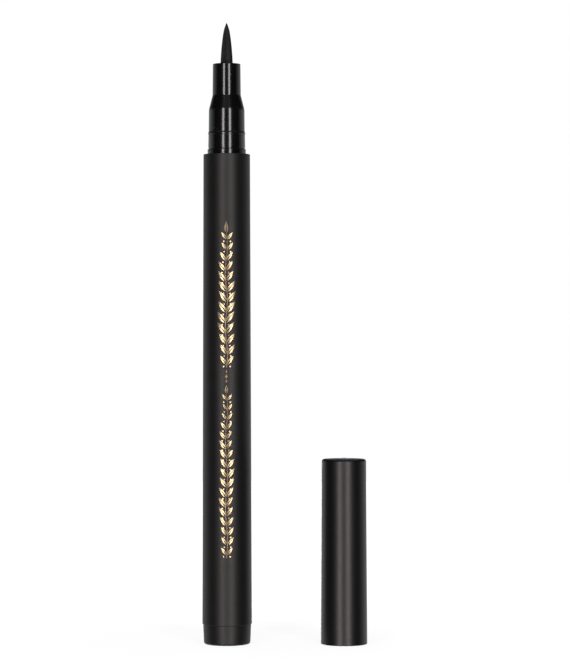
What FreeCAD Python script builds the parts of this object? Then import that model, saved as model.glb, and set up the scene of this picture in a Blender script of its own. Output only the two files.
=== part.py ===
import FreeCAD, Part
import math
import os
import Sketcher

# Liquid eyeliner pen, stood on its end plug, with its cap taken off and stood beside it.
# Millimetres, +Z up. The origin is the middle of the pen's base.
# The pen is sized from the inside out: brush, collar, nose, barrel, and then the cap that goes over them.

SIZES = {
    # Fits between pieces, on the radius
    "seat_clearance": 0.02,
    "brush_clearance": 0.05,
    "slide_clearance": 0.05,
    "cap_clearance": 0.05,
    "mouth_clearance": 0.1,
    "snap_clearance": 0.02,
    "contact_gap": 0.02,
    "cut_margin": 0.5,
    # Brush
    "brush_diameter": 2.56,
    "brush_length": 8.4,
    "brush_belly_radius": 54.0,
    "brush_point_length": 2.05,
    "brush_point_diameter": 1.4,
    "brush_point_radius": 7.3,
    "brush_end_radius": 0.13,
    "brush_stem_length": 4.0,
    "brush_root_step": 0.38,
    "brush_root_height": 0.8,
    # Collar round the brush
    "collar_wall": 0.48,
    "collar_length": 11.0,
    "collar_overhang": 1.0,
    "flute_count": 3,
    "flute_width": 0.6,
    "flute_depth": 0.2,
    # Front section
    "nose_wall": 0.65,
    "nose_draft": 0.075,
    "nose_front_wall": 1.8,
    "nose_length": 6.44,
    "nose_round": 0.14,
    "cone_length": 2.94,
    "cone_root_round": 1.0,
    "cone_edge_round": 1.9,
    "shoulder_length": 4.54,
    "shoulder_step": 0.045,
    "shoulder_draft": 0.045,
    "bead_height": 0.6,
    "bead_radius": 0.5,
    "land_length": 2.95,
    "land_step": 0.13,
    "land_draft": 0.06,
    "land_relief": 0.14,
    "land_relief_height": 0.36,
    "flange_seat": 0.375,
    "flange_height": 1.05,
    "flange_round": 0.1,
    "spigot_length": 10.0,
    "spigot_wall": 0.78,
    "air_space": 0.6,
    "notch_width": 0.5,
    # Barrel
    "barrel_length": 96.2,
    "barrel_wall": 1.21,
    "barrel_taper": 0.305,
    "barrel_tail_round": 0.14,
    "barrel_front_round": 0.12,
    # End plug
    "plug_head_length": 4.1,
    "plug_step": 0.155,
    "plug_draft": 0.17,
    "plug_base_round": 0.5,
    "plug_seam_round": 0.05,
    "plug_spigot_length": 5.0,
    "plug_wall": 1.2,
    "plug_floor": 1.6,
    # Tank stopper and mixing ball
    "stopper_length": 6.0,
    "stopper_lip": 0.9,
    "stopper_relief": 0.25,
    "stopper_cup_inset": 0.7,
    "stopper_cup_depth": 3.5,
    "ball_play": 1.0,
    # Feed core and collector
    "feed_inset": 0.22,
    "feed_reach": 4.0,
    "neck_length": 2.5,
    "collector_flange": 0.8,
    "collector_tail": 2.0,
    "collector_core_step": 0.3,
    "fin_count": 19,
    "fin_thickness": 0.5,
    "fin_space": 0.8,
    "fin_gap": 0.25,
    "ink_slit_width": 0.35,
    "air_notch_width": 0.9,
    "air_notch_depth": 1.0,
    # Cap
    "cap_spacing": 14.125,
    "cap_reveal": 0.01,
    "cap_draft": 0.21,
    "cap_ceiling": 1.25,
    "cap_top_round": 0.5,
    "cap_closed_gap": 0.1,
    "gate_diameter": 2.6,
    "gate_height": 0.25,
    "snap_rib_height": 0.6,
    "snap_rib_flat": 0.2,
    "stop_height": 0.6,
    "stop_bevel": 0.25,
    "stop_clearance": 0.05,
    # Inner cap and its spring
    "seal_step": 0.345,
    "seal_travel": 1.5,
    "inner_cap_wall": 0.45,
    "inner_cap_catch": 0.15,
    "inner_cap_flange": 0.8,
    "inner_cap_ceiling": 0.7,
    "brush_headroom": 1.4,
    "spring_length": 9.2,
    "spring_mean_diameter": 5.0,
    "spring_wire": 0.4,
    "spring_turns": 6,
    "spring_clearance": 0.2,
    "spring_boss_height": 1.0,
}

document = FreeCAD.newDocument("eyeliner_pen")
sheet = document.addObject("Spreadsheet::Sheet", "sizes")
for row, (alias, size) in enumerate(SIZES.items(), start=1):
    sheet.set(f"A{row}", alias)
    sheet.set(f"B{row}", str(size))
    sheet.setAlias(f"B{row}", alias)
document.recompute()

# Heights on the pen, above its base
SEAM = "sizes.plug_head_length"
PLUG_TOP = f"{SEAM} + sizes.plug_spigot_length"
STOPPER_TOP = f"{PLUG_TOP} + sizes.stopper_length"
FRONT_FACE = f"{SEAM} + sizes.barrel_length"
FLANGE_TOP = f"{FRONT_FACE} + sizes.flange_height"
LAND_TOP = f"{FLANGE_TOP} + sizes.land_length"
BEAD_TOP = f"{LAND_TOP} + sizes.bead_height"
SHOULDER_TOP = f"{BEAD_TOP} + sizes.shoulder_length"
CONE_TOP = f"{SHOULDER_TOP} + sizes.cone_length"
NOSE_TOP = f"{CONE_TOP} + sizes.nose_length"
BRUSH_POINT = f"{NOSE_TOP} + sizes.brush_length"
COLLAR_TOP = f"{NOSE_TOP} - sizes.nose_front_wall"
COLLAR_END = f"{COLLAR_TOP} - sizes.collar_length"
COLLAR_SEAT_END = f"{COLLAR_END} + sizes.collar_overhang"
ROOT_TOP = f"{COLLAR_TOP} - sizes.brush_stem_length"
ROOT_END = f"{ROOT_TOP} - sizes.brush_root_height"
SPIGOT_END = f"{FRONT_FACE} - sizes.spigot_length"
NECK_TOP = f"{SPIGOT_END} + sizes.neck_length"
FINS_TOP = f"{SPIGOT_END} - sizes.collector_flange"
FIN_PITCH = "(sizes.fin_thickness + sizes.fin_space)"
FIN_ZONE = f"(sizes.fin_count * {FIN_PITCH} + sizes.fin_space)"
FINS_END = f"{FINS_TOP} - {FIN_ZONE}"
COLLECTOR_END = f"{FINS_END} - sizes.collector_tail"
FEED_END = f"{COLLECTOR_END} - sizes.feed_reach"

# Radii on the pen, from the inside out
BRUSH = "sizes.brush_diameter / 2"
BRUSH_HOLE = f"{BRUSH} + sizes.brush_clearance"
FEED = f"{BRUSH} - sizes.feed_inset"
FEED_BORE = f"{FEED} + sizes.seat_clearance"
ROOT = f"{BRUSH} + sizes.brush_root_step"
ROOT_BORE = f"{ROOT} + sizes.seat_clearance"
COLLAR = f"{ROOT_BORE} + sizes.collar_wall"
COLLAR_BORE = f"{COLLAR} + sizes.seat_clearance"
NOSE_TIP = f"{COLLAR_BORE} + sizes.nose_wall"
NOSE_ROOT = f"{NOSE_TIP} + sizes.nose_draft"
FRONT_BORE = f"{COLLAR} + sizes.air_space"
SPIGOT = f"{FRONT_BORE} + sizes.spigot_wall"
BARREL_BORE = f"{SPIGOT} + sizes.seat_clearance"
BARREL_FRONT = f"{BARREL_BORE} + sizes.barrel_wall"
BARREL_TAIL = f"{BARREL_FRONT} + sizes.barrel_taper"
FLANGE = f"{BARREL_BORE} + sizes.flange_seat"
LAND = f"{FLANGE} - sizes.land_step"
LAND_END = f"{LAND} - sizes.land_draft"
SHOULDER = f"{LAND_END} - sizes.shoulder_step"
SHOULDER_END = f"{SHOULDER} - sizes.shoulder_draft"
PLUG_SEAM = f"{BARREL_TAIL} - sizes.plug_step"
PLUG_BASE = f"{PLUG_SEAM} - sizes.plug_draft"
PLUG_BORE = f"{SPIGOT} - sizes.plug_wall"
BALL = f"{BARREL_BORE} - sizes.ball_play"
STOPPER_CUP = f"{BALL} - sizes.stopper_cup_inset"
COLLECTOR_CORE = f"{ROOT} + sizes.collector_core_step"

# Radii on the cap
CAP_MOUTH = f"{BARREL_FRONT} - sizes.cap_reveal"
CAP_CROWN = f"{CAP_MOUTH} - sizes.cap_draft"
MOUTH_BORE = f"{FLANGE} + sizes.mouth_clearance"
LAND_BORE = f"{LAND} + sizes.cap_clearance"
SNAP_RIB = f"{LAND_END} + sizes.snap_clearance"
CAP_STOP = f"{SHOULDER_END} + sizes.stop_clearance"
LIP_FLANGE = f"{CAP_STOP} + sizes.inner_cap_catch"
UPPER_BORE = f"{LIP_FLANGE} + sizes.slide_clearance"
SEAL = f"{NOSE_ROOT} + sizes.seal_step"
INNER_CAP = f"{SEAL} + sizes.inner_cap_wall"
SPRING_BOSS = "(sizes.spring_mean_diameter - sizes.spring_wire) / 2 - sizes.spring_clearance"

# Heights on the cap, above its mouth. On the closed pen the inner cap's lip meets the cone at SEAL,
# and off the pen the spring holds it lower by its travel, against the stop.
CONE_SHARE = f"(({SHOULDER_END}) - ({SEAL})) / (({SHOULDER_END}) - ({NOSE_ROOT}))"
LIP_CLOSED = f"({SHOULDER_TOP}) - ({FRONT_FACE}) + sizes.cone_length * {CONE_SHARE} - sizes.cap_closed_gap"
LIP = f"{LIP_CLOSED} - sizes.seal_travel"
COVERED = f"sizes.cone_length * (1 - {CONE_SHARE}) + sizes.nose_length + sizes.brush_length"
INNER_CEILING = f"{LIP} + {COVERED} + sizes.brush_headroom"
INNER_CAP_TOP = f"{INNER_CEILING} + sizes.inner_cap_ceiling"
CAP_CEILING = f"{INNER_CAP_TOP} + sizes.spring_length"
CAP_TOP = f"{CAP_CEILING} + sizes.cap_ceiling"
SNAP_RIB_TOP = f"({LAND_TOP}) - ({FRONT_FACE}) - sizes.cap_closed_gap"
MOUTH_DEPTH = f"{SNAP_RIB_TOP} - sizes.snap_rib_height"
CAP_OFFSET = f"({BARREL_TAIL}) + sizes.cap_spacing + ({CAP_MOUTH})"

pieces = []


def number(formula):
    """The value that a formula of sheet cells has now."""
    return float(sheet.evalExpression(formula))


def new_body(name):
    """An empty body that becomes one piece of the pen."""
    body = document.addObject("PartDesign::Body", name)
    body.Label = name
    pieces.append(body)
    return body


def origin_feature(body, role):
    return next(feature for feature in body.Origin.OriginFeatures if feature.Role == role)


def hold(sketch, axis, line, formula):
    """Binds one coordinate of a line's start to a formula. '0' puts it on the sketch's own axis."""
    if formula == "0":
        own_axis = {"X": -2, "Y": -1}[axis]
        sketch.addConstraint(Sketcher.Constraint("PointOnObject", line, 1, own_axis))
        return
    ends = (-1, 1, line, 1)
    if number(formula) < 0:
        ends = (line, 1, -1, 1)
        formula = f"-({formula})"
    constraint = sketch.addConstraint(Sketcher.Constraint(f"Distance{axis}", *ends, number(formula)))
    sketch.setExpression(f"Constraints[{constraint}]", formula)


def arc_between(start, end, radius):
    """The arc from start to end that bulges to the right of that way."""
    chord = end - start
    right = FreeCAD.Vector(chord.y, -chord.x, 0).normalize()
    rise = radius - math.sqrt(radius ** 2 - chord.Length ** 2 / 4)
    return Part.ArcOfCircle(start, start + chord / 2 + right * rise, end)


def draw(sketch, corners):
    """Draws a closed outline, anticlockwise. A corner is (x, y), or (x, y, radius) where an arc leaves it."""
    points = [FreeCAD.Vector(number(corner[0]), number(corner[1]), 0) for corner in corners]
    for line, corner in enumerate(corners):
        start = points[line]
        end = points[(line + 1) % len(points)]
        if len(corner) == 3:
            sketch.addGeometry(arc_between(start, end, number(corner[2])))
        else:
            sketch.addGeometry(Part.LineSegment(start, end))
    for line, corner in enumerate(corners):
        sketch.addConstraint(Sketcher.Constraint("Coincident", line, 2, (line + 1) % len(corners), 1))
        hold(sketch, "X", line, corner[0])
        hold(sketch, "Y", line, corner[1])
        if len(corner) == 3:
            constraint = sketch.addConstraint(Sketcher.Constraint("Radius", line, number(corner[2])))
            sketch.setExpression(f"Constraints[{constraint}]", corner[2])


def new_sketch(body, name, plane):
    sketch = body.newObject("Sketcher::SketchObject", name)
    sketch.AttachmentSupport = [(origin_feature(body, plane), "")]
    sketch.MapMode = "FlatFace"
    return sketch


def revolve(body, corners):
    """Turns an outline of (radius, height) corners about the body's Z axis."""
    sketch = new_sketch(body, f"{body.Label}_outline", "XZ_Plane")
    draw(sketch, corners)
    turned = body.newObject("PartDesign::Revolution", f"{body.Label}_turned")
    turned.Profile = sketch
    turned.ReferenceAxis = (sketch, ["V_Axis"])
    turned.Angle = 360
    document.recompute()
    return turned


def is_ring(edge, radius, height):
    """Whether an edge is a circle of this radius about the Z axis, at this height."""
    if edge.Degenerated or not isinstance(edge.Curve, Part.Circle):
        return False
    near = 1e-4
    return abs(edge.Curve.Radius - radius) < near and abs(edge.Curve.Center.z - height) < near


def round_ring(body, name, radius, height, size):
    """Rounds the circular edge at this radius and height."""
    base = body.Tip
    rings = []
    for index, edge in enumerate(base.Shape.Edges, start=1):
        if is_ring(edge, number(radius), number(height)):
            rings.append(f"Edge{index}")
    fillet = body.newObject("PartDesign::Fillet", f"{body.Label}_{name}")
    fillet.Base = (base, rings)
    fillet.setExpression("Radius", size)
    document.recompute()


def cut_slot(body, name, inner, outer, width, top, depth):
    """Cuts a straight slot downwards from top. It runs along X from inner to outer."""
    volume = body.Shape.Volume
    sketch = new_sketch(body, f"{body.Label}_{name}_outline", "XY_Plane")
    sketch.setExpression("AttachmentOffset.Base.z", top)
    half = f"{width} / 2"
    draw(sketch, [(inner, f"-({half})"), (outer, f"-({half})"), (outer, half), (inner, half)])
    slot = body.newObject("PartDesign::Pocket", f"{body.Label}_{name}")
    slot.Profile = sketch
    slot.setExpression("Length", depth)
    document.recompute()
    if body.Shape.Volume >= volume:
        raise RuntimeError(f"{body.Label}: {name} cuts nothing")
    return slot


def repeat_round(body, feature, count):
    """Repeats a feature evenly round the Z axis."""
    pattern = body.newObject("PartDesign::PolarPattern", f"{feature.Name}_pattern")
    pattern.Originals = [feature]
    pattern.Axis = (origin_feature(body, "Z_Axis"), [""])
    pattern.Angle = 360
    pattern.setExpression("Occurrences", count)
    body.Tip = pattern
    document.recompute()


def stand_aside(piece):
    """Stands a piece of the cap beside the pen."""
    piece.setExpression("Placement.Base.x", CAP_OFFSET)


def make_barrel():
    """Tapered tube, whose straight bore is the tank."""
    body = new_body("barrel")
    revolve(body, [
        (BARREL_BORE, SEAM),
        (BARREL_TAIL, SEAM),
        (BARREL_FRONT, FRONT_FACE),
        (BARREL_BORE, FRONT_FACE),
    ])
    round_ring(body, "tail_round", BARREL_TAIL, SEAM, "sizes.barrel_tail_round")
    round_ring(body, "front_round", BARREL_FRONT, FRONT_FACE, "sizes.barrel_front_round")


def make_end_plug():
    """Plug with a hollow spigot, which closes the barrel's tail and is the pen's foot."""
    body = new_body("end_plug")
    revolve(body, [
        ("0", "0"),
        (PLUG_BASE, "0"),
        (PLUG_SEAM, SEAM),
        (SPIGOT, SEAM),
        (SPIGOT, PLUG_TOP),
        (PLUG_BORE, PLUG_TOP),
        (PLUG_BORE, "sizes.plug_floor"),
        ("0", "sizes.plug_floor"),
    ])
    round_ring(body, "base_round", PLUG_BASE, "0", "sizes.plug_base_round")
    round_ring(body, "seam_round", PLUG_SEAM, SEAM, "sizes.plug_seam_round")


def make_tank_stopper():
    """Soft stopper with two sealing lips, and a cup that the mixing ball rests on."""
    body = new_body("tank_stopper")
    waist = f"{SPIGOT} - sizes.stopper_relief"
    cup_floor = f"{STOPPER_TOP} - sizes.stopper_cup_depth"
    revolve(body, [
        ("0", PLUG_TOP),
        (SPIGOT, PLUG_TOP),
        (SPIGOT, f"{PLUG_TOP} + sizes.stopper_lip"),
        (waist, f"{PLUG_TOP} + sizes.stopper_lip + sizes.stopper_relief"),
        (waist, f"{STOPPER_TOP} - sizes.stopper_lip - sizes.stopper_relief"),
        (SPIGOT, f"{STOPPER_TOP} - sizes.stopper_lip"),
        (SPIGOT, STOPPER_TOP),
        (STOPPER_CUP, STOPPER_TOP),
        (STOPPER_CUP, cup_floor),
        ("0", cup_floor),
    ])


def make_mixing_ball():
    """Steel ball, at rest a contact gap above the rim of the stopper's cup."""
    ball = document.addObject("Part::Sphere", "mixing_ball")
    ball.Label = "mixing_ball"
    ball.setExpression("Radius", BALL)
    above_rim = f"sqrt(({BALL} + sizes.contact_gap)^2 - ({STOPPER_CUP})^2)"
    ball.setExpression("Placement.Base.z", f"{STOPPER_TOP} + {above_rim}")
    pieces.append(ball)


def make_front_section():
    """Nose tube, cone, shoulder, click bead, undercut land and flange, on a spigot that the barrel grips."""
    body = new_body("front_section")
    revolve(body, [
        (SPIGOT, SPIGOT_END),
        (SPIGOT, FRONT_FACE),
        (FLANGE, FRONT_FACE),
        (FLANGE, FLANGE_TOP),
        (f"{LAND} - sizes.land_relief", FLANGE_TOP),
        (LAND, f"{FLANGE_TOP} + sizes.land_relief_height"),
        (LAND_END, LAND_TOP, "sizes.bead_radius"),
        (SHOULDER, BEAD_TOP),
        (SHOULDER_END, SHOULDER_TOP),
        (NOSE_ROOT, CONE_TOP),
        (NOSE_TIP, NOSE_TOP),
        (BRUSH_HOLE, NOSE_TOP),
        (BRUSH_HOLE, COLLAR_TOP),
        (COLLAR_BORE, COLLAR_TOP),
        (COLLAR_BORE, COLLAR_SEAT_END),
        (FRONT_BORE, COLLAR_SEAT_END),
        (FRONT_BORE, SPIGOT_END),
    ])
    round_ring(body, "nose_round", NOSE_TIP, NOSE_TOP, "sizes.nose_round")
    round_ring(body, "cone_root_round", NOSE_ROOT, CONE_TOP, "sizes.cone_root_round")
    round_ring(body, "cone_edge_round", SHOULDER_END, SHOULDER_TOP, "sizes.cone_edge_round")
    round_ring(body, "flange_round", FLANGE, FLANGE_TOP, "sizes.flange_round")
    notch = cut_slot(body, "air_notch", "0", COLLAR, "sizes.notch_width", NOSE_TOP, "sizes.nose_front_wall")
    repeat_round(body, notch, "sizes.flute_count")


def make_brush_collar():
    """Sleeve that holds the brush by its root, with flutes that let air back past it."""
    body = new_body("brush_collar")
    stem_bore = f"{BRUSH} + sizes.seat_clearance"
    revolve(body, [
        (ROOT_BORE, COLLAR_END),
        (COLLAR, COLLAR_END),
        (COLLAR, COLLAR_TOP),
        (stem_bore, COLLAR_TOP),
        (stem_bore, ROOT_TOP),
        (ROOT_BORE, ROOT_TOP),
    ])
    flute = cut_slot(
        body, "flute", f"{COLLAR} - sizes.flute_depth", f"{COLLAR} + sizes.cut_margin",
        "sizes.flute_width", COLLAR_TOP, "sizes.collar_length",
    )
    repeat_round(body, flute, "sizes.flute_count")


def make_brush_tip():
    """Filament brush: a fused root, a round stem, a gently bellied body and a point."""
    body = new_body("brush_tip")
    point = "sizes.brush_point_diameter / 2"
    revolve(body, [
        ("0", ROOT_END),
        (ROOT, ROOT_END),
        (ROOT, ROOT_TOP),
        (BRUSH, ROOT_TOP),
        (BRUSH, NOSE_TOP, "sizes.brush_belly_radius"),
        (point, f"{BRUSH_POINT} - sizes.brush_point_length", "sizes.brush_point_radius"),
        ("sizes.brush_end_radius", f"{BRUSH_POINT} - sizes.brush_end_radius", "sizes.brush_end_radius"),
        ("0", BRUSH_POINT),
    ])


def make_feed_core():
    """Fibre rod that carries liquid from the tank to the brush's root."""
    rod = document.addObject("Part::Cylinder", "feed_core")
    rod.Label = "feed_core"
    rod.setExpression("Radius", FEED)
    rod.setExpression("Height", f"({ROOT_END}) - ({FEED_END})")
    rod.setExpression("Placement.Base.z", FEED_END)
    pieces.append(rod)


def make_collector():
    """Tube round the feed core, with a nozzle that backs the brush and fins that hold spare liquid."""
    body = new_body("collector")
    revolve(body, [
        (FEED_BORE, COLLECTOR_END),
        (SPIGOT, COLLECTOR_END),
        (SPIGOT, FINS_END),
        (COLLECTOR_CORE, FINS_END),
        (COLLECTOR_CORE, FINS_TOP),
        (SPIGOT, FINS_TOP),
        (SPIGOT, SPIGOT_END),
        (f"{FRONT_BORE} - sizes.seat_clearance", SPIGOT_END),
        (f"{FRONT_BORE} - sizes.seat_clearance", NECK_TOP),
        (ROOT, NECK_TOP),
        (ROOT, ROOT_END),
        (FEED_BORE, ROOT_END),
    ])
    fin_outline = new_sketch(body, "collector_fin_outline", "XY_Plane")
    fin_outline.setExpression("AttachmentOffset.Base.z", f"{FINS_TOP} - {FIN_PITCH}")
    upright = FreeCAD.Vector(0, 0, 1)
    for radius in (f"{BARREL_BORE} - sizes.fin_gap", ROOT):
        circle = fin_outline.addGeometry(Part.Circle(FreeCAD.Vector(), upright, number(radius)))
        fin_outline.addConstraint(Sketcher.Constraint("Coincident", circle, 3, -1, 1))
        constraint = fin_outline.addConstraint(Sketcher.Constraint("Radius", circle, number(radius)))
        fin_outline.setExpression(f"Constraints[{constraint}]", radius)
    fin = body.newObject("PartDesign::Pad", "collector_fin")
    fin.Profile = fin_outline
    fin.setExpression("Length", "sizes.fin_thickness")
    document.recompute()
    fins = body.newObject("PartDesign::LinearPattern", "collector_fins")
    fins.Originals = [fin]
    fins.Direction = (origin_feature(body, "Z_Axis"), [""])
    fins.Reversed = True
    fins.setExpression("Length", f"(sizes.fin_count - 1) * {FIN_PITCH}")
    fins.setExpression("Occurrences", "sizes.fin_count")
    body.Tip = fins
    document.recompute()
    beyond = f"{BARREL_BORE} + sizes.cut_margin"
    cut_slot(
        body, "ink_slit", "0", beyond, "sizes.ink_slit_width",
        FINS_TOP, f"{FIN_ZONE} + sizes.collector_tail",
    )
    cut_slot(
        body, "air_notch", f"-({beyond})", f"-({BARREL_BORE} - sizes.air_notch_depth)",
        "sizes.air_notch_width", NECK_TOP, f"({NECK_TOP}) - ({FINS_END})",
    )


def make_cap_shell():
    """Outer cap, with the bores that fit over the front section and hold the inner cap and its spring."""
    body = new_body("cap_shell")
    gate = "sizes.gate_diameter / 2"
    gate_radius = f"(({gate})^2 + sizes.gate_height^2) / (2 * sizes.gate_height)"
    rib_slope = "(sizes.snap_rib_height - sizes.snap_rib_flat) / 2"
    revolve(body, [
        (MOUTH_BORE, "0"),
        (CAP_MOUTH, "0"),
        (CAP_CROWN, CAP_TOP),
        (gate, CAP_TOP, gate_radius),
        ("0", f"{CAP_TOP} + sizes.gate_height"),
        ("0", f"{CAP_CEILING} - sizes.spring_boss_height"),
        (SPRING_BOSS, f"{CAP_CEILING} - sizes.spring_boss_height"),
        (SPRING_BOSS, CAP_CEILING),
        (UPPER_BORE, CAP_CEILING),
        (UPPER_BORE, LIP),
        (CAP_STOP, LIP),
        (CAP_STOP, f"{LIP} - sizes.stop_height"),
        (LAND_BORE, f"{LIP} - sizes.stop_height - sizes.stop_bevel"),
        (LAND_BORE, SNAP_RIB_TOP),
        (SNAP_RIB, f"{SNAP_RIB_TOP} - {rib_slope}"),
        (SNAP_RIB, f"{MOUTH_DEPTH} + {rib_slope}"),
        (MOUTH_BORE, MOUTH_DEPTH),
    ])
    round_ring(body, "top_round", CAP_CROWN, CAP_TOP, "sizes.cap_top_round")
    stand_aside(body)


def make_inner_cap():
    """Cup that seals on the cone and keeps the brush wet. Its lip flange rests on the cap's stop."""
    body = new_body("inner_cap")
    revolve(body, [
        (SEAL, LIP),
        (LIP_FLANGE, LIP),
        (LIP_FLANGE, f"{LIP} + sizes.inner_cap_flange"),
        (INNER_CAP, f"{LIP} + sizes.inner_cap_flange"),
        (INNER_CAP, INNER_CAP_TOP),
        (SPRING_BOSS, INNER_CAP_TOP),
        (SPRING_BOSS, f"{INNER_CAP_TOP} + sizes.spring_boss_height"),
        ("0", f"{INNER_CAP_TOP} + sizes.spring_boss_height"),
        ("0", INNER_CEILING),
        (SEAL, INNER_CEILING),
    ])
    stand_aside(body)


def helix_point(radius, pitch, turn):
    angle = 2 * math.pi * turn
    return FreeCAD.Vector(radius * math.cos(angle), radius * math.sin(angle), pitch * turn)


def helix_direction(radius, pitch, turn):
    angle = 2 * math.pi * turn
    climb = pitch / (2 * math.pi)
    return FreeCAD.Vector(-radius * math.sin(angle), radius * math.cos(angle), climb).normalize()


def arc_to(start, end, corner):
    """The arc from start to end whose tangents there meet at corner."""
    middle = (start + end) / 2
    half = (end - middle).Length
    leg = (corner - start).Length
    rise = half * math.tan(math.acos(half / leg) / 2)
    return Part.Arc(start, middle + (corner - middle).normalize() * rise, end).toShape()


def biarc(start, start_way, end, end_way):
    """Two arcs that leave start and reach end in the given directions, and run smoothly into each other."""
    chord = end - start
    ways = start_way + end_way
    bend = 2 * (1 - start_way.dot(end_way))
    along = chord.dot(ways)
    reach = (math.sqrt(along ** 2 + bend * chord.dot(chord)) - along) / bend
    first_corner = start + start_way * reach
    second_corner = end - end_way * reach
    joint = (first_corner + second_corner) / 2
    return [arc_to(start, joint, first_corner), arc_to(joint, end, second_corner)]


def make_cap_spring():
    """Compression spring between the inner cap and the cap's ceiling, one unbroken wire."""
    wire = number("sizes.spring_wire")
    radius = number("sizes.spring_mean_diameter / 2")
    turns = round(number("sizes.spring_turns"))
    climb = number("sizes.spring_length - sizes.spring_wire - 2 * sizes.contact_gap")
    pitch = climb / turns
    stations = [quarter / 4 for quarter in range(4 * turns + 1)]
    points = [helix_point(radius, pitch, turn) for turn in stations]
    ways = [helix_direction(radius, pitch, turn) for turn in stations]
    edges = []
    for index in range(len(stations) - 1):
        edges += biarc(points[index], ways[index], points[index + 1], ways[index + 1])
    route = Part.Wire(edges)
    section = Part.Wire(Part.Circle(points[0], ways[0], wire / 2).toShape())
    spring = document.addObject("Part::Feature", "cap_spring")
    spring.Label = "cap_spring"
    spring.Shape = route.makePipeShell([section], True, False)
    lift = number(f"{INNER_CAP_TOP} + sizes.contact_gap") + wire / 2
    spring.Placement = FreeCAD.Placement(FreeCAD.Vector(number(CAP_OFFSET), 0, lift), FreeCAD.Rotation())
    pieces.append(spring)
    print(f"cap_spring: volume over wire length times section "
          f"{spring.Shape.Volume / (route.Length * math.pi * wire ** 2 / 4):.5f}, "
          f"least gap to itself {least_self_gap(radius, pitch, turns) - wire:.3f} mm")


def least_self_gap(radius, pitch, turns):
    """Least distance between the wire's centre line and its next turn, measured on points."""
    steps = 48
    line = [helix_point(radius, pitch, step / steps) for step in range(steps * turns + 1)]
    apart = steps // 2
    gaps = []
    for index, point in enumerate(line):
        gaps += [(point - other).Length for other in line[index + apart:index + 2 * steps]]
    return min(gaps)


make_barrel()
make_end_plug()
make_tank_stopper()
make_mixing_ball()
make_front_section()
make_brush_collar()
make_brush_tip()
make_feed_core()
make_collector()
make_cap_shell()
make_inner_cap()
make_cap_spring()
document.recompute()

for item in document.Objects:
    if "Invalid" in item.State or "Error" in item.State:
        raise RuntimeError(f"{item.Label} failed: {item.State}")
for piece in pieces:
    if piece.Shape.isNull() or not piece.Shape.isValid() or len(piece.Shape.Solids) != 1:
        raise RuntimeError(f"{piece.Label} is not one valid solid")

os.makedirs("parts", exist_ok=True)
for piece in pieces:
    piece.Shape.exportStep(f"parts/{piece.Label}.step")
    print(f"{piece.Label}: {piece.Shape.Volume:.2f} mm3")
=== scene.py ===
import math
import random

import bmesh
import bpy
from mathutils import Matrix, Vector


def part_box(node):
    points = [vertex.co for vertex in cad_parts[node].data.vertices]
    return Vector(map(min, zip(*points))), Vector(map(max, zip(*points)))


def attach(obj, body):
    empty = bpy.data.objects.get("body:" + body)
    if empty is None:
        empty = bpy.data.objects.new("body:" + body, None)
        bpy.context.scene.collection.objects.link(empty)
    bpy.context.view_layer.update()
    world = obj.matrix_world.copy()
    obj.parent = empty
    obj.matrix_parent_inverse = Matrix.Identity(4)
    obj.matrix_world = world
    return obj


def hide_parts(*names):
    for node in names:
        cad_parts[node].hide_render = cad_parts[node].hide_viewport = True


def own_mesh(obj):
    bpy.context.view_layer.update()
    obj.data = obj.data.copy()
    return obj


# Liquid eyeliner pen with its cap standing beside it. Metres, +Z up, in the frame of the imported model.
# Outlines are (radius, height, round) corners, turned about the pen's axis or the cap's axis.

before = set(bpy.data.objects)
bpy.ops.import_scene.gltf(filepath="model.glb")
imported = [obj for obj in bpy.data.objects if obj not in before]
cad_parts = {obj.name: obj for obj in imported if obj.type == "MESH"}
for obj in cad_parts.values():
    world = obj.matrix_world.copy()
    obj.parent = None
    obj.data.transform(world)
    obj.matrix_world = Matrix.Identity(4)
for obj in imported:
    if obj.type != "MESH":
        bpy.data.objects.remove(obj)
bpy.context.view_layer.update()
scene = bpy.context.scene
scene.view_settings.view_transform = "Standard"

MM = 0.001
TURN_STEPS = 192
ROUND_SEGMENTS = 6
MERGE_DISTANCE = 0.0005 * MM
SHARP_ANGLE = math.radians(28)

# Photograph: its frame in pixels, and where the pen stands in it
PHOTO_WIDTH = 570
PHOTO_HEIGHT = 670
PIXEL = 0.205 * MM
PEN_AXIS_COLUMN = 226.9
PEN_BASE_ROW = 643.7
CAMERA_DISTANCE = 540 * MM
CAMERA_ROLL = math.radians(0.054)
SENSOR = 36

# Pen, from the frame's boxes and the few sizes that they don't show
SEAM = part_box("barrel")[0].z
FRONT_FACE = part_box("barrel")[1].z
NOSE_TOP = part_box("front_section")[1].z
SPIGOT_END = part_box("front_section")[0].z
PLUG_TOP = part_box("end_plug")[1].z
BRUSH_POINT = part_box("brush_tip")[1].z
BRUSH_ROOT_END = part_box("brush_tip")[0].z
COLLAR_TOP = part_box("brush_collar")[1].z
COLLAR_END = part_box("brush_collar")[0].z
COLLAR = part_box("brush_collar")[1].y
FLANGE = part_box("front_section")[1].x
BRUSH_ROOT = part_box("brush_tip")[1].x
BARREL_TAIL = 5.075 * MM
BARREL_FRONT = 4.77 * MM
BARREL_BORE = 3.56 * MM
SEAT_CLEARANCE = 0.02 * MM
SPIGOT = BARREL_BORE - SEAT_CLEARANCE

# Cap, in the frame's boxes
CAP_AXIS = (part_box("cap_spring")[0].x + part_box("cap_spring")[1].x) / 2
CAP_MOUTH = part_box("cap_shell")[1].y
CAP_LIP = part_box("inner_cap")[0].z
SPRING_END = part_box("cap_spring")[0].z
SPRING_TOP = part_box("cap_spring")[1].z
SPRING_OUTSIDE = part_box("cap_spring")[1].y
CAP_CEILING = SPRING_TOP + SEAT_CLEARANCE


# Meshes


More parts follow.
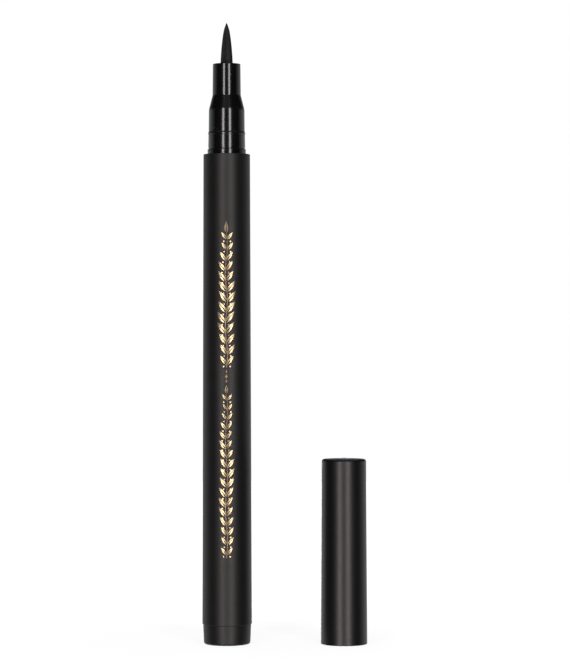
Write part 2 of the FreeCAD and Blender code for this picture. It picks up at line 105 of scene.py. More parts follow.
def turned(corners, axis_x=0.0):
    """Spins an outline of (radius, height, round) corners about an upright axis."""
    bm = bmesh.new()
    verts = [bm.verts.new((axis_x + radius, 0, height)) for radius, height, _ in corners]
    hollow = all(radius > 0 for radius, _, _ in corners)
    ends = verts[1:] + verts[:1] if hollow else verts[1:]
    for start, end in zip(verts, ends):
        bm.edges.new((start, end))
    for vert, (_, _, size) in zip(verts, corners):
        if size:
            bmesh.ops.bevel(bm, geom=[vert], offset=size, affect="VERTICES",
                            segments=ROUND_SEGMENTS, profile=0.5, material=-1)
    bmesh.ops.spin(bm, geom=bm.verts[:] + bm.edges[:], cent=(axis_x, 0, 0), axis=(0, 0, 1),
                   angle=2 * math.pi, steps=TURN_STEPS, use_merge=True)
    close(bm)
    return bm


def close(bm):
    """Merges doubles and turns the faces outwards."""
    bmesh.ops.remove_doubles(bm, verts=bm.verts, dist=MERGE_DISTANCE)
    bmesh.ops.recalc_face_normals(bm, faces=bm.faces)


def piece_from(bm, name, material, body, replaced=None):
    """Makes a finished piece of the object, riding on a body of the frame."""
    mesh = bpy.data.meshes.new(name)
    bm.to_mesh(mesh)
    bm.free()
    mesh.polygons.foreach_set("use_smooth", [True] * len(mesh.polygons))
    mesh.set_sharp_from_angle(angle=SHARP_ANGLE)
    mesh.materials.append(material)
    piece = bpy.data.objects.new(name, mesh)
    scene.collection.objects.link(piece)
    even = piece.modifiers.new("even_shading", "WEIGHTED_NORMAL")
    even.keep_sharp = True
    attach(piece, body)
    if replaced:
        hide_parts(replaced)
    return piece


def cut(piece, cutter):
    """Cuts a bmesh out of a piece for good."""
    mesh = bpy.data.meshes.new("cutter")
    cutter.to_mesh(mesh)
    cutter.free()
    tool = bpy.data.objects.new("cutter", mesh)
    scene.collection.objects.link(tool)
    knife = piece.modifiers.new("cut", "BOOLEAN")
    knife.operation = "DIFFERENCE"
    knife.solver = "EXACT"
    knife.object = tool
    piece.modifiers.move(len(piece.modifiers) - 1, 0)
    even = piece.modifiers["even_shading"]
    even.show_viewport = False
    depsgraph = bpy.context.evaluated_depsgraph_get()
    cut_mesh = bpy.data.meshes.new_from_object(piece.evaluated_get(depsgraph))
    even.show_viewport = True
    piece.modifiers.remove(knife)
    bpy.data.objects.remove(tool)
    cut_mesh.name = piece.data.name
    piece.data = cut_mesh


# Materials


def new_shader(name, roughness, metallic, specular, tint):
    """A material's tree and its Principled shader, with the values that are the same all over."""
    material = bpy.data.materials.new(name)
    material.use_nodes = True
    shader = material.node_tree.nodes["Principled BSDF"]
    shader.inputs["Roughness"].default_value = roughness
    shader.inputs["Metallic"].default_value = metallic
    shader.inputs["Specular IOR Level"].default_value = specular
    shader.inputs["Specular Tint"].default_value = (*tint, 1)
    return material, material.node_tree, shader


def cloud(tree, size, stretch=(1, 1, 1), detail=3.0):
    """Noise on the object's own coordinates, whose lumps are about this size."""
    nodes = tree.nodes
    place = nodes.new("ShaderNodeTexCoord")
    mapping = nodes.new("ShaderNodeMapping")
    mapping.inputs["Scale"].default_value = [1 / (size * way) for way in stretch]
    noise = nodes.new("ShaderNodeTexNoise")
    noise.inputs["Scale"].default_value = 1.0
    noise.inputs["Detail"].default_value = detail
    tree.links.new(place.outputs["Object"], mapping.inputs["Vector"])
    tree.links.new(mapping.outputs["Vector"], noise.inputs["Vector"])
    return noise.outputs["Fac"]


def graded(tree, value, low, high, start=0.3, end=0.7):
    """Maps a value between start and end onto the range from low to high."""
    grade = tree.nodes.new("ShaderNodeMapRange")
    grade.inputs["From Min"].default_value = start
    grade.inputs["From Max"].default_value = end
    grade.inputs["To Min"].default_value = low
    grade.inputs["To Max"].default_value = high
    tree.links.new(value, grade.inputs["Value"])
    return grade.outputs["Result"]


def tinted(tree, value, dark, light):
    """Mixes two colours by a value from 0 to 1."""
    ramp = tree.nodes.new("ShaderNodeValToRGB")
    ramp.color_ramp.elements[0].color = (*dark, 1)
    ramp.color_ramp.elements[1].color = (*light, 1)
    tree.links.new(value, ramp.inputs["Fac"])
    return ramp.outputs["Color"]


def mixed(tree, factor, first, second):
    """Mixes two colours, each a tuple or an output, by a factor."""
    mix = tree.nodes.new("ShaderNodeMix")
    mix.data_type = "RGBA"
    tree.links.new(factor, mix.inputs["Factor"])
    for value, socket in ((first, mix.inputs["A"]), (second, mix.inputs["B"])):
        if isinstance(value, tuple):
            socket.default_value = (*value, 1)
        else:
            tree.links.new(value, socket)
    return mix.outputs["Result"]


def raised(tree, value, height):
    """A bump of this height in metres."""
    bump = tree.nodes.new("ShaderNodeBump")
    bump.inputs["Strength"].default_value = 1.0
    bump.inputs["Distance"].default_value = height
    tree.links.new(value, bump.inputs["Height"])
    return bump.outputs["Normal"]


def moulded(name, dark, light, roughness, grain, height, patch=3.0 * MM, stretch=(1, 1, 1),
            metallic=0.0, specular=0.5, tint=(1, 1, 1), mark=None):
    """A finish with cloudy colour, uneven gloss and a fine grain. Roughness is a (low, high) pair.

    A mark is (height, fade, colour): another colour above a height of the object.
    """
    material, tree, shader = new_shader(name, sum(roughness) / 2, metallic, specular, tint)
    patches = cloud(tree, patch, stretch)
    fine = cloud(tree, grain, stretch)
    colour = tinted(tree, graded(tree, patches, 0, 1), dark, light)
    if mark:
        colour = marked(tree, colour, *mark)
    tree.links.new(colour, shader.inputs["Base Color"])
    tree.links.new(graded(tree, fine, *roughness), shader.inputs["Roughness"])
    tree.links.new(raised(tree, fine, height), shader.inputs["Normal"])
    return material


def marked(tree, colour, height, fade, paint):
    """A colour that goes over to another one above a height of the object."""
    place = tree.nodes.new("ShaderNodeTexCoord")
    split = tree.nodes.new("ShaderNodeSeparateXYZ")
    tree.links.new(place.outputs["Object"], split.inputs["Vector"])
    above = graded(tree, split.outputs["Z"], 0, 1, height, height + fade)
    return mixed(tree, above, colour, paint)


def satin_black():
    """Matt black lacquer, sprayed: a fine even grain."""
    return moulded("satin_black", (0.0014, 0.0013, 0.0013), (0.0024, 0.0023, 0.0023), (0.43, 0.48),
                   grain=0.22 * MM, height=0.0022 * MM, specular=0.65, tint=(0.508, 0.48, 0.477))


def cap_black():
    """The cap's smoother lacquer, with faint streaks along it, and a painted highlight on its gate dome:
    a pale bluish colour above a height that stands in for the dome's reflection.
    """
    # Painted highlight: a pale bluish colour on the top of the gate dome stands in for the dome's
    # reflection of the bright surroundings.
    painted_gate_highlight = (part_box("cap_shell")[1].z - 0.24 * MM, 0.06 * MM, (0.36, 0.40, 0.46))
    return moulded("cap_black", (0.0008, 0.0008, 0.0008), (0.0016, 0.0015, 0.0015), (0.35, 0.41),
                   grain=0.16 * MM, height=0.0012 * MM, patch=2.0 * MM, stretch=(1, 1, 5),
                   specular=0.62, tint=(0.64, 0.595, 0.605), mark=painted_gate_highlight)


def gloss_black():
    """Bare glossy moulding."""
    return moulded("gloss_black", (0.0012, 0.0012, 0.0012), (0.0022, 0.0021, 0.0021), (0.155, 0.180),
                   grain=0.35 * MM, height=0.0001 * MM)


def brush_black():
    """Wet synthetic filaments, streaked along their length."""
    return moulded("brush_fibre", (0.0055, 0.0055, 0.0056), (0.0105, 0.0104, 0.0105), (0.54, 0.70),
                   grain=0.05 * MM, height=0.002 * MM, patch=0.12 * MM, stretch=(1, 1, 18), specular=0.2)


def gold_foil():
    """Hot-stamped gold foil that takes up a little of the lacquer's grain."""
    return moulded("gold_foil", (0.31, 0.225, 0.13), (0.40, 0.295, 0.18), (0.26, 0.32),
                   grain=0.20 * MM, height=0.0004 * MM, patch=1.2 * MM, metallic=1.0)


def natural_plastic():
    """Milky natural polypropylene."""
    return moulded("natural_plastic", (0.62, 0.61, 0.57), (0.72, 0.71, 0.67), (0.36, 0.46),
                   grain=0.25 * MM, height=0.0015 * MM)


def white_plastic():
    """White inner cap, softly polished."""
    return moulded("white_plastic", (0.74, 0.74, 0.72), (0.82, 0.82, 0.80), (0.28, 0.36),
                   grain=0.30 * MM, height=0.001 * MM)


def feed_fibre():
    """Bundled polyester fibre, soaked with black."""
    return moulded("feed_fibre", (0.010, 0.010, 0.010), (0.045, 0.043, 0.042), (0.6, 0.8),
                   grain=0.06 * MM, height=0.004 * MM, patch=0.1 * MM, stretch=(1, 1, 20))


def soft_stopper():
    """Grey soft stopper."""
    return moulded("soft_stopper", (0.19, 0.19, 0.19), (0.25, 0.25, 0.25), (0.50, 0.62),
                   grain=0.12 * MM, height=0.002 * MM)


def bright_steel():
    """Drawn or polished steel."""
    return moulded("steel", (0.52, 0.52, 0.53), (0.64, 0.64, 0.65), (0.14, 0.24),
                   grain=0.10 * MM, height=0.0005 * MM, metallic=1.0)


# Pen


def barrel_radius(height):
    """Outer radius of the tapered barrel."""
    return BARREL_TAIL + (BARREL_FRONT - BARREL_TAIL) * (height - SEAM) / (FRONT_FACE - SEAM)


def make_barrel(material):
    """Tapered tube with a rounded tail edge."""
    tail_round = 0.14 * MM
    front_round = 0.12 * MM
    bore_round = 0.1 * MM
    bm = turned([
        (BARREL_BORE, SEAM, bore_round),
        (BARREL_TAIL, SEAM, tail_round),
        (BARREL_FRONT, FRONT_FACE, front_round),
        (BARREL_BORE, FRONT_FACE, bore_round),
    ])
    return piece_from(bm, "barrel_tube", material, "pen", "barrel")


def make_end_plug(material):
    """Foot of the pen, a hair narrower than the barrel, on a hollow spigot."""
    base = 4.75 * MM
    seam = 4.92 * MM
    base_round = 0.5 * MM
    seam_round = 0.05 * MM
    wall = 1.2 * MM
    floor = 1.6 * MM
    bm = turned([
        (0, 0, 0),
        (base, 0, base_round),
        (seam, SEAM, seam_round),
        (SPIGOT, SEAM, 0),
        (SPIGOT, PLUG_TOP, seam_round),
        (SPIGOT - wall, PLUG_TOP, seam_round),
        (SPIGOT - wall, floor, 0),
        (0, floor, 0),
    ])
    return piece_from(bm, "foot_plug", material, "pen", "end_plug")


def make_front_section(material):
    """Nose tube, cone, shoulder, click bead, undercut land and flange."""
    flange_top = FRONT_FACE + 1.05 * MM
    land_top = flange_top + 2.95 * MM
    bead_top = land_top + 0.6 * MM
    shoulder_top = bead_top + 4.54 * MM
    cone_top = shoulder_top + 2.94 * MM
    land = 3.805 * MM
    land_end = 3.745 * MM
    bead = 3.90 * MM
    shoulder = 3.70 * MM
    shoulder_end = 3.655 * MM
    nose_root = 2.905 * MM
    nose_tip = 2.83 * MM
    brush_hole = 1.33 * MM
    front_bore = 2.76 * MM
    collar_seat_end = COLLAR_END + 1.0 * MM
    collar_bore = COLLAR + SEAT_CLEARANCE
    relief = 0.14 * MM
    relief_height = 0.36 * MM
    cone_root_round = 0.12 * MM
    cone_edge_round = 0.22 * MM
    nose_round = 0.14 * MM
    edge_round = 0.1 * MM
    bead_round = 0.24 * MM
    bm = turned([
        (SPIGOT, SPIGOT_END, edge_round),
        (SPIGOT, FRONT_FACE, 0),
        (FLANGE, FRONT_FACE, 0),
        (FLANGE, flange_top, edge_round),
        (land - relief, flange_top, 0),
        (land, flange_top + relief_height, 0),
        (land_end, land_top, 0),
        (bead, (land_top + bead_top) / 2, bead_round),
        (shoulder, bead_top, 0),
        (shoulder_end, shoulder_top, cone_edge_round),
        (nose_root, cone_top, cone_root_round),
        (nose_tip, NOSE_TOP, nose_round),
        (brush_hole, NOSE_TOP, edge_round),
        (brush_hole, COLLAR_TOP, 0),
        (collar_bore, COLLAR_TOP, 0),
        (collar_bore, collar_seat_end, 0),
        (front_bore, collar_seat_end, 0),
        (front_bore, SPIGOT_END, edge_round),
    ])
    piece = piece_from(bm, "nose_section", material, "pen", "front_section")
    cut(piece, air_notches(NOSE_TOP, COLLAR_TOP))
    return piece


def air_notches(top, end):
    """Three slots beside the brush that let air back into the pen."""
    count = 3
    width = 0.5 * MM
    margin = 0.2 * MM
    inner = 1.0 * MM
    bm = bmesh.new()
    for turn in range(count):
        block = bmesh.ops.create_cube(bm, size=1.0)["verts"]
        size = Vector((COLLAR - inner, width, top - end + margin))
        bmesh.ops.scale(bm, verts=block, vec=size)
        bmesh.ops.translate(bm, verts=block, vec=((COLLAR + inner) / 2, 0, (top + end + margin) / 2))
        bmesh.ops.rotate(bm, verts=block, cent=(0, 0, 0),
                         matrix=Matrix.Rotation(2 * math.pi * turn / count, 3, "Z"))
    return bm


# Brush


BRUSH = 1.28 * MM
BRUSH_BELLY = 54.0 * MM
BRUSH_WAIST = 0.7 * MM
BRUSH_WAIST_HEIGHT = BRUSH_POINT - 2.05 * MM
BRUSH_TIP_BEND = 7.3 * MM
BRUSH_END = 0.13 * MM


def arc_radius(height, start, end, bend):
    """Radius at a height on the arc between two (radius, height) points that bulges outwards."""
    rise = end[1] - start[1]
    drop = end[0] - start[0]
    chord = math.hypot(rise, drop)
    back = math.sqrt(bend ** 2 - chord ** 2 / 4)
    middle = (start[0] + end[0]) / 2 - rise / chord * back
    level = (start[1] + end[1]) / 2 + drop / chord * back
    return middle + math.sqrt(bend ** 2 - (height - level) ** 2)


def brush_radius(height):
    """Outer radius of the brush above the nose."""
    waist = (BRUSH_WAIST, BRUSH_WAIST_HEIGHT)
    if height <= NOSE_TOP:
        return BRUSH
    if height <= BRUSH_WAIST_HEIGHT:
        return arc_radius(height, (BRUSH, NOSE_TOP), waist, BRUSH_BELLY)
    end = BRUSH_POINT - BRUSH_END
    if height <= end:
        return arc_radius(height, waist, (BRUSH_END, end), BRUSH_TIP_BEND)
    return math.sqrt(max(BRUSH_END ** 2 - (height - end) ** 2, 0))


def add_brush_core(bm):
    """Packed middle of the brush, just inside the outer filaments."""
    share = 0.93
    rings = 24
    root_drop = 4.0 * MM
    point_room = 0.15 * MM
    root_top = COLLAR_TOP - root_drop
    top = BRUSH_POINT - point_room
    corners = [(0, BRUSH_ROOT_END, 0), (BRUSH_ROOT, BRUSH_ROOT_END, 0), (BRUSH_ROOT, root_top, 0)]
    corners += [(BRUSH, root_top, 0), (BRUSH, COLLAR_TOP, 0)]
    for ring in range(rings):
        height = NOSE_TOP + (top - NOSE_TOP) * ring / (rings - 1)
        corners.append((share * brush_radius(height), height, 0))
    corners.append((0, top, 0))
    core = turned(corners)
    mesh = bpy.data.meshes.new("brush_core")
    core.to_mesh(mesh)
    core.free()
    bm.from_mesh(mesh)
    bpy.data.meshes.remove(mesh)


def filament_blank():
    """One straight filament of unit length and radius, tapering to its end."""
    sides = 5
    cuts = 6
    end_radius = 0.22
    bm = bmesh.new()
    bmesh.ops.create_cone(bm, cap_ends=True, segments=sides, radius1=1.0, radius2=end_radius, depth=1.0)
    long_edges = [edge for edge in bm.edges if abs(edge.verts[0].co.z - edge.verts[1].co.z) > 0.5]
    bmesh.ops.subdivide_edges(bm, edges=long_edges, cuts=cuts, use_grid_fill=True)
    mesh = bpy.data.meshes.new("filament")
    bm.to_mesh(mesh)
    bm.free()
    return mesh


def add_filaments(bm):
    """Tapered filaments that follow the brush's outline and gather at its point."""
    count = 300
    thickness = 0.05 * MM
    inset = 1.2
    inmost = 0.90
    outmost = 0.995
    shortening = 0.34
    crowding = 1.6
    jitter = 0.02
    lean = 0.05
    root_length = 1.2 * MM
    seed = 7
    start = NOSE_TOP - root_length
    golden_turn = math.pi * (3 - math.sqrt(5))
    draw = random.Random(seed)
    blank = filament_blank()
    for index in range(count):
        angle = golden_turn * index + draw.uniform(-jitter, jitter)
        depth = draw.uniform(inmost, outmost)
        end = NOSE_TOP + (BRUSH_POINT - NOSE_TOP) * (1 - shortening * draw.random() ** crowding)
        sway = draw.uniform(-lean, lean)
        first = len(bm.verts)
        bm.from_mesh(blank)
        bm.verts.ensure_lookup_table()
        for vert in bm.verts[first:]:
            share = vert.co.z + 0.5
            height = start + (end - start) * share
            around = angle + sway * math.sin(math.pi * share)
            room = depth * max(brush_radius(height) - thickness * (inset - share), 0)
            outward = Vector((math.cos(around), math.sin(around), 0))
            sideways = Vector((-math.sin(around), math.cos(around), 0))
            place = outward * (room + vert.co.x * thickness) + sideways * vert.co.y * thickness
            vert.co = (place.x, place.y, height)
    bpy.data.meshes.remove(blank)


def make_brush(material):
    """Packed core and loose filaments as one piece."""
    bm = bmesh.new()
    add_brush_core(bm)
    add_filaments(bm)
    return piece_from(bm, "brush_filaments", material, "pen", "brush_tip")


# Foil ornament: two leafy sprigs up the barrel's front


FOIL_PROUD = 0.012 * MM
FOIL_SUNK = 0.004 * MM
STEM_WIDTH = 0.18 * MM
TIP_LEAF = 0.8


def leaf_half(bm, side):
    """Half a leaf of unit length along Y, beside its vein, with pointed ends that don't touch."""
    vein = 0.05
    tip_gap = 0.004
    half_width = 0.13
    skew = 0.85
    verts = bmesh.ops.create_grid(bm, x_segments=3, y_segments=10, size=0.5)["verts"]
    for vert in verts:
        along = vert.co.y + 0.5
        across = vert.co.x + 0.5
        swell = math.sin(math.pi * along ** skew)
        beside = max(vein * (1 - along), tip_gap)
        vert.co = (side * (beside + across * half_width * swell), along, 0)
    return verts


def add_leaf(bm, foot, angle, length):
    """A leaf on the flat, growing from foot at an angle from the upward way."""
    verts = leaf_half(bm, -1) + leaf_half(bm, 1)
    bmesh.ops.scale(bm, verts=verts, vec=(length, length, 1))
    bmesh.ops.rotate(bm, verts=verts, cent=(0, 0, 0), matrix=Matrix.Rotation(-angle, 3, "Z"))
    bmesh.ops.translate(bm, verts=verts, vec=(*foot, 0))


def add_berry(bm, place, radius):
    """A small round dot on the flat."""
    verts = bmesh.ops.create_circle(bm, cap_ends=True, segments=12, radius=radius)["verts"]
    bmesh.ops.translate(bm, verts=verts, vec=(*place, 0))


def stem_sway(height, foot, length):
    """How far the stem leans aside at a height."""
    sway = 0.22 * MM
    waves = 2.5
    return sway * math.sin(2 * math.pi * waves * (height - foot) / length)


def add_sprig(bm, foot, length, leaf, pairs):
    """A swaying stem with paired leaves, shorter towards both ends, and a leaf at its tip."""
    lean = math.radians(36)
    leaf_out = 0.12 * MM
    least_leaf = 0.62
    first_pair = 0.35
    berry = 0.15 * MM
    berry_out = 0.55 * MM
    berry_down = 0.45 * MM
    stem_taper = 0.5
    swell_shift = 0.1
    stem = bmesh.ops.create_grid(bm, x_segments=2, y_segments=80, size=0.5)["verts"]
    for vert in stem:
        along = vert.co.y + 0.5
        height = foot + along * length
        slim = STEM_WIDTH * (1 - stem_taper * along)
        vert.co = (stem_sway(height, foot, length) + vert.co.x * slim, height, 0)
    for pair in range(pairs):
        share = (pair + first_pair) / pairs
        height = foot + share * length
        swell = math.sin(math.pi * min(share + swell_shift, 1))
        size = leaf * (least_leaf + (1 - least_leaf) * swell)
        for side in (-1, 1):
            root = (stem_sway(height, foot, length) + side * leaf_out, height)
            add_leaf(bm, root, side * lean, size)
            add_berry(bm, (root[0] + side * berry_out, height - berry_down), berry)
    add_leaf(bm, (stem_sway(foot + length, foot, length), foot + length), 0, leaf * TIP_LEAF)


def add_lozenge(bm, height, size):
    """A small upright diamond on the flat."""
    slim = 0.62
    verts = bmesh.ops.create_grid(bm, x_segments=2, y_segments=2, size=size)["verts"]
    bmesh.ops.rotate(bm, verts=verts, cent=(0, 0, 0), matrix=Matrix.Rotation(math.pi / 4, 3, "Z"))
    bmesh.ops.scale(bm, verts=verts, vec=(slim, 1, 1))
    bmesh.ops.translate(bm, verts=verts, vec=(0, height, 0))


def wrap_on_barrel(bm):
    """Bends the flat design round the barrel's front and gives it its thickness."""
    for vert in bm.verts:
        across, height, _ = vert.co
        radius = barrel_radius(height) + FOIL_PROUD
        angle = across / barrel_radius(height)
        vert.co = (radius * math.sin(angle), -radius * math.cos(angle), height)
    bm.normal_update()
    inward = []
    for face in bm.faces:
        middle = face.calc_center_median()
        if face.normal.dot(Vector((middle.x, middle.y, 0))) < 0:
            inward.append(face)
    bmesh.ops.reverse_faces(bm, faces=inward)
    bmesh.ops.solidify(bm, geom=bm.faces[:], thickness=FOIL_PROUD + FOIL_SUNK)


def make_foil(material):
    """Two sprigs with three lozenges between them, one above the other."""
    foil_end = 18.0 * MM
    foil_top = 86.4 * MM
    gap_middle = 54.9 * MM
    gap = 3.4 * MM
    lower_end = gap_middle - gap / 2
    upper_foot = gap_middle + gap / 2
    upper_leaf = 2.8 * MM
    lower_leaf = 2.3 * MM
    lozenge = 0.34 * MM
    lozenge_less = 0.1 * MM
    lozenge_step = 0.95 * MM
    bm = bmesh.new()
    add_sprig(bm, foil_end, lower_end - foil_end - lower_leaf * TIP_LEAF, lower_leaf, pairs=17)
    add_sprig(bm, upper_foot, foil_top - upper_foot - upper_leaf * TIP_LEAF, upper_leaf, pairs=13)
    for step in (-1, 0, 1):
        add_lozenge(bm, gap_middle + step * lozenge_step, lozenge - lozenge_less * abs(step))
    bmesh.ops.remove_doubles(bm, verts=bm.verts, dist=MERGE_DISTANCE)
    wrap_on_barrel(bm)
    return piece_from(bm, "foil_sprigs", material, "pen")


# Cap


def make_cap(material):
    """Cap shell with its inner steps, and the small dome that the mould's gate leaves on top."""
    crown = 4.55 * MM
    gate = 1.3 * MM
    gate_height = 0.25 * MM
    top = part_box("cap_shell")[1].z - gate_height
    boss = 2.1 * MM
    boss_end = CAP_CEILING - 1.0 * MM
    upper_bore = 3.905 * MM
    stop = 3.705 * MM
    stop_end = CAP_LIP - 0.6 * MM
    stop_bevel = 0.25 * MM
    land_bore = 3.855 * MM
    rib = 3.765 * MM
    rib_top = 3.9 * MM
    rib_height = 0.6 * MM
    rib_slope = 0.2 * MM
    mouth_bore = 4.035 * MM
    top_round = 0.5 * MM
    mouth_round = 0.12 * MM
    dome_bend = (gate ** 2 + gate_height ** 2) / (2 * gate_height)
    dome_rings = 5
    corners = [
        (0, boss_end, 0),
        (boss, boss_end, 0),
        (boss, CAP_CEILING, 0),
        (upper_bore, CAP_CEILING, 0),
        (upper_bore, CAP_LIP, 0),
        (stop, CAP_LIP, 0),
        (stop, stop_end, 0),
        (land_bore, stop_end - stop_bevel, 0),
        (land_bore, rib_top, 0),
        (rib, rib_top - rib_slope, 0),
        (rib, rib_top - rib_height + rib_slope, 0),
        (mouth_bore, rib_top - rib_height, 0),
        (mouth_bore, 0, mouth_round),
        (CAP_MOUTH, 0, mouth_round),
        (crown, top, top_round),
    ]
    for ring in range(dome_rings + 1):
        radius = gate * (1 - ring / dome_rings)
        lift = math.sqrt(dome_bend ** 2 - radius ** 2) - (dome_bend - gate_height)
        corners.append((radius, top + lift, 0))
    bm = turned(corners, CAP_AXIS)
    return piece_from(bm, "cap_body", material, "cap", "cap_shell")


def make_spring(material):
    """Compression spring behind the inner cap. The real one shortens as the inner cap is pushed in; this
    mesh keeps one length.
    """
    wire = 0.4 * MM
    turns = 6
    steps = 48
    radius = SPRING_OUTSIDE - wire / 2
    pitch = (SPRING_TOP - SPRING_END - wire) / turns
    bm = bmesh.new()
    ring = bmesh.ops.create_circle(bm, cap_ends=False, segments=14, radius=wire / 2)["verts"]
    climb = math.atan2(pitch, 2 * math.pi * radius)
    bmesh.ops.rotate(bm, verts=ring, cent=(0, 0, 0), matrix=Matrix.Rotation(math.pi / 2 + climb, 3, "X"))
    bmesh.ops.translate(bm, verts=ring, vec=(CAP_AXIS + radius, 0, SPRING_END + wire / 2))
    bmesh.ops.spin(bm, geom=bm.verts[:] + bm.edges[:], cent=(CAP_AXIS, 0, 0), axis=(0, 0, 1),
                   dvec=(0, 0, pitch / steps), angle=2 * math.pi * turns, steps=steps * turns)
    bmesh.ops.holes_fill(bm, edges=[edge for edge in bm.edges if edge.is_boundary])
    close(bm)
    piece = piece_from(bm, "inner_spring", material, "cap", "cap_spring")
    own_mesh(piece)
    return piece


def dress_node(node, material):
    """Gives a CAD node that stays as it is its finish."""
    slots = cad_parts[node].data.materials
    slots.clear()
    slots.append(material)


# Studio


def make_camera():
    """Camera at the photograph's place, square on to the pen."""
    data = bpy.data.cameras.new("camera")
    data.sensor_width = SENSOR
    data.lens = SENSOR * CAMERA_DISTANCE / (PHOTO_HEIGHT * PIXEL)
    camera = bpy.data.objects.new("camera", data)
    aside = (PHOTO_WIDTH / 2 - PEN_AXIS_COLUMN) * PIXEL
    height = (PEN_BASE_ROW - PHOTO_HEIGHT / 2) * PIXEL
    camera.location = (aside, -CAMERA_DISTANCE, height)
    camera.rotation_euler = (math.pi / 2, CAMERA_ROLL, 0)
    scene.collection.objects.link(camera)
    scene.camera = camera


def make_strip(name, azimuth, spread, high, radiance):
    """A tall soft light that faces the pen, so many degrees wide. Azimuth 0 is the camera's side."""
    distance = 600 * MM
    width = 2 * distance * math.tan(math.radians(spread) / 2)
    low = -460 * MM
    data = bpy.data.lights.new(name, "AREA")
    data.shape = "RECTANGLE"
    data.size = width
    data.size_y = high - low
    data.energy = radiance * math.pi * width * (high - low)
    data.color = (1.0, 0.985, 0.975)
    light = bpy.data.objects.new(name, data)
    turn = math.radians(azimuth)
    light.location = (distance * math.sin(turn), -distance * math.cos(turn), (low + high) / 2)
    light.rotation_euler = (math.pi / 2, 0, turn)
    light.visible_camera = False
    scene.collection.objects.link(light)


def between(tree, value, none, full):
    """0 to 1 as a direction's part goes from the sine of one angle to that of another, in degrees."""
    return graded(tree, value, 0, 1, math.sin(math.radians(none)), math.sin(math.radians(full)))


def studio_tone(tree, direction):
    """Dark in front, bluish overhead, a low pale backdrop behind and a pale table, shaded at its foot."""
    split = tree.nodes.new("ShaderNodeSeparateXYZ")
    tree.links.new(direction, split.inputs["Vector"])
    overhead = between(tree, split.outputs["Z"], 36, 62)
    glow = tree.nodes.new("ShaderNodeMath")
    glow.operation = "MULTIPLY"
    tree.links.new(between(tree, split.outputs["Y"], -46, -66), glow.inputs[0])
    tree.links.new(between(tree, split.outputs["Z"], 12, 24), glow.inputs[1])
    behind = tree.nodes.new("ShaderNodeMath")
    behind.operation = "MULTIPLY"
    tree.links.new(between(tree, split.outputs["Y"], -10, 22), behind.inputs[0])
    tree.links.new(between(tree, split.outputs["Z"], 20, 2), behind.inputs[1])
    below = between(tree, split.outputs["Z"], -38, -62)
    dim = tinted(tree, overhead, (0.008, 0.008, 0.008), (0.30, 0.36, 0.52))
    dim = mixed(tree, glow.outputs["Value"], dim, (0.36, 0.36, 0.37))
    level = mixed(tree, behind.outputs["Value"], dim, (0.76, 0.77, 0.79))
    foot_shade = between(tree, split.outputs["Z"], -62, -80)
    table = tinted(tree, foot_shade, (1.00, 0.94, 0.88), (0.24, 0.235, 0.23))
    return mixed(tree, below, level, table)


def either(tree, first, second):
    """The larger of two values."""
    larger = tree.nodes.new("ShaderNodeMath")
    larger.operation = "MAXIMUM"
    tree.links.new(first, larger.inputs[0])
    tree.links.new(second, larger.inputs[1])
    return larger.outputs["Value"]


def make_world():
    """White to the camera, a plain studio in reflections, and an even fill for the rest."""
    world = bpy.data.worlds.new("studio")
    scene.world = world
    world.use_nodes = True
    tree = world.node_tree
    background = tree.nodes["Background"]
    place = tree.nodes.new("ShaderNodeTexCoord")
    path = tree.nodes.new("ShaderNodeLightPath")
    tone = studio_tone(tree, place.outputs["Generated"])
    mirrored = either(tree, path.outputs["Is Glossy Ray"], path.outputs["Is Transmission Ray"])
    fill = (0.35, 0.35, 0.35)
    white = (1.0, 1.0, 1.0)
    light = mixed(tree, mirrored, fill, tone)
    seen = mixed(tree, path.outputs["Is Camera Ray"], light, white)
    tree.links.new(seen, background.inputs["Color"])


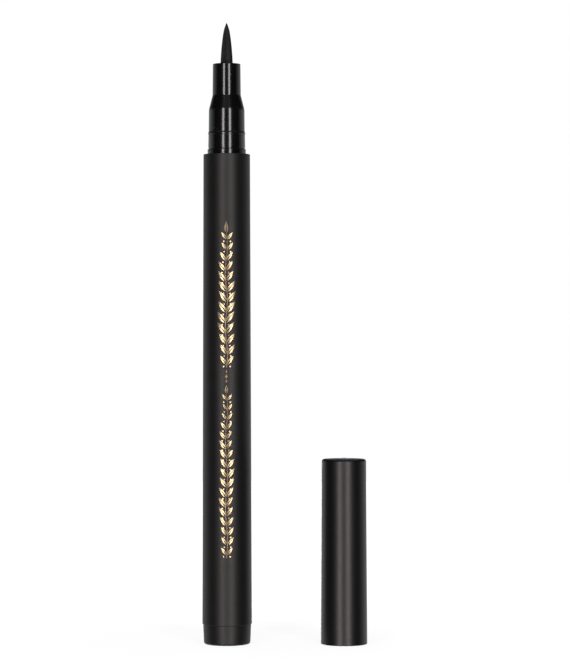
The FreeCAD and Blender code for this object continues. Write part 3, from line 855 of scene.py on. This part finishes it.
def make_floor():
    """Pale floor, white to the camera but for a faint shadow. Reflections show the studio instead."""
    radius = 600 * MM
    drop = 0.02 * MM
    near = 30 * MM
    far = 150 * MM
    near_share = 0.75
    glow = 1.18
    paint = (0.86, 0.86, 0.86, 1)
    bm = bmesh.new()
    bmesh.ops.create_circle(bm, cap_ends=True, segments=64, radius=radius)
    bmesh.ops.translate(bm, verts=bm.verts, vec=(0, 0, -drop))
    mesh = bpy.data.meshes.new("floor")
    bm.to_mesh(mesh)
    bm.free()
    floor = bpy.data.objects.new("floor", mesh)
    scene.collection.objects.link(floor)
    material = bpy.data.materials.new("pale_floor")
    material.use_nodes = True
    tree = material.node_tree
    nodes = tree.nodes
    nodes.clear()
    path = nodes.new("ShaderNodeLightPath")
    matt = nodes.new("ShaderNodeBsdfDiffuse")
    matt.inputs["Color"].default_value = paint
    white = nodes.new("ShaderNodeEmission")
    white.inputs["Strength"].default_value = glow
    seen = nodes.new("ShaderNodeMixShader")
    place = nodes.new("ShaderNodeTexCoord")
    away = nodes.new("ShaderNodeVectorMath")
    away.operation = "LENGTH"
    tree.links.new(place.outputs["Object"], away.inputs["Vector"])
    white_share = graded(tree, away.outputs["Value"], near_share, 1.0, near, far)
    tree.links.new(white_share, seen.inputs["Fac"])
    tree.links.new(matt.outputs["BSDF"], seen.inputs[1])
    tree.links.new(white.outputs["Emission"], seen.inputs[2])
    to_camera = nodes.new("ShaderNodeMixShader")
    tree.links.new(path.outputs["Is Camera Ray"], to_camera.inputs["Fac"])
    tree.links.new(matt.outputs["BSDF"], to_camera.inputs[1])
    tree.links.new(seen.outputs["Shader"], to_camera.inputs[2])
    output = nodes.new("ShaderNodeOutputMaterial")
    tree.links.new(to_camera.outputs["Shader"], output.inputs["Surface"])
    mesh.materials.append(material)
    floor.visible_glossy = False
    floor.visible_transmission = False
    floor.visible_shadow = False


lacquer = satin_black()
steel = bright_steel()
natural = natural_plastic()
make_barrel(lacquer)
make_end_plug(lacquer)
make_front_section(gloss_black())
make_brush(brush_black())
make_foil(gold_foil())
make_cap(cap_black())
make_spring(steel)
dress_node("inner_cap", white_plastic())
dress_node("brush_collar", natural)
dress_node("collector", natural)
dress_node("feed_core", feed_fibre())
dress_node("tank_stopper", soft_stopper())
dress_node("mixing_ball", steel)
make_camera()
make_strip("left_strip", azimuth=-20.5, spread=10, high=380 * MM, radiance=11.5)
make_strip("right_strip", azimuth=22.0, spread=10, high=380 * MM, radiance=11.5)
make_strip("back_strip", azimuth=180, spread=14, high=30 * MM, radiance=14.0)
make_world()
make_floor()
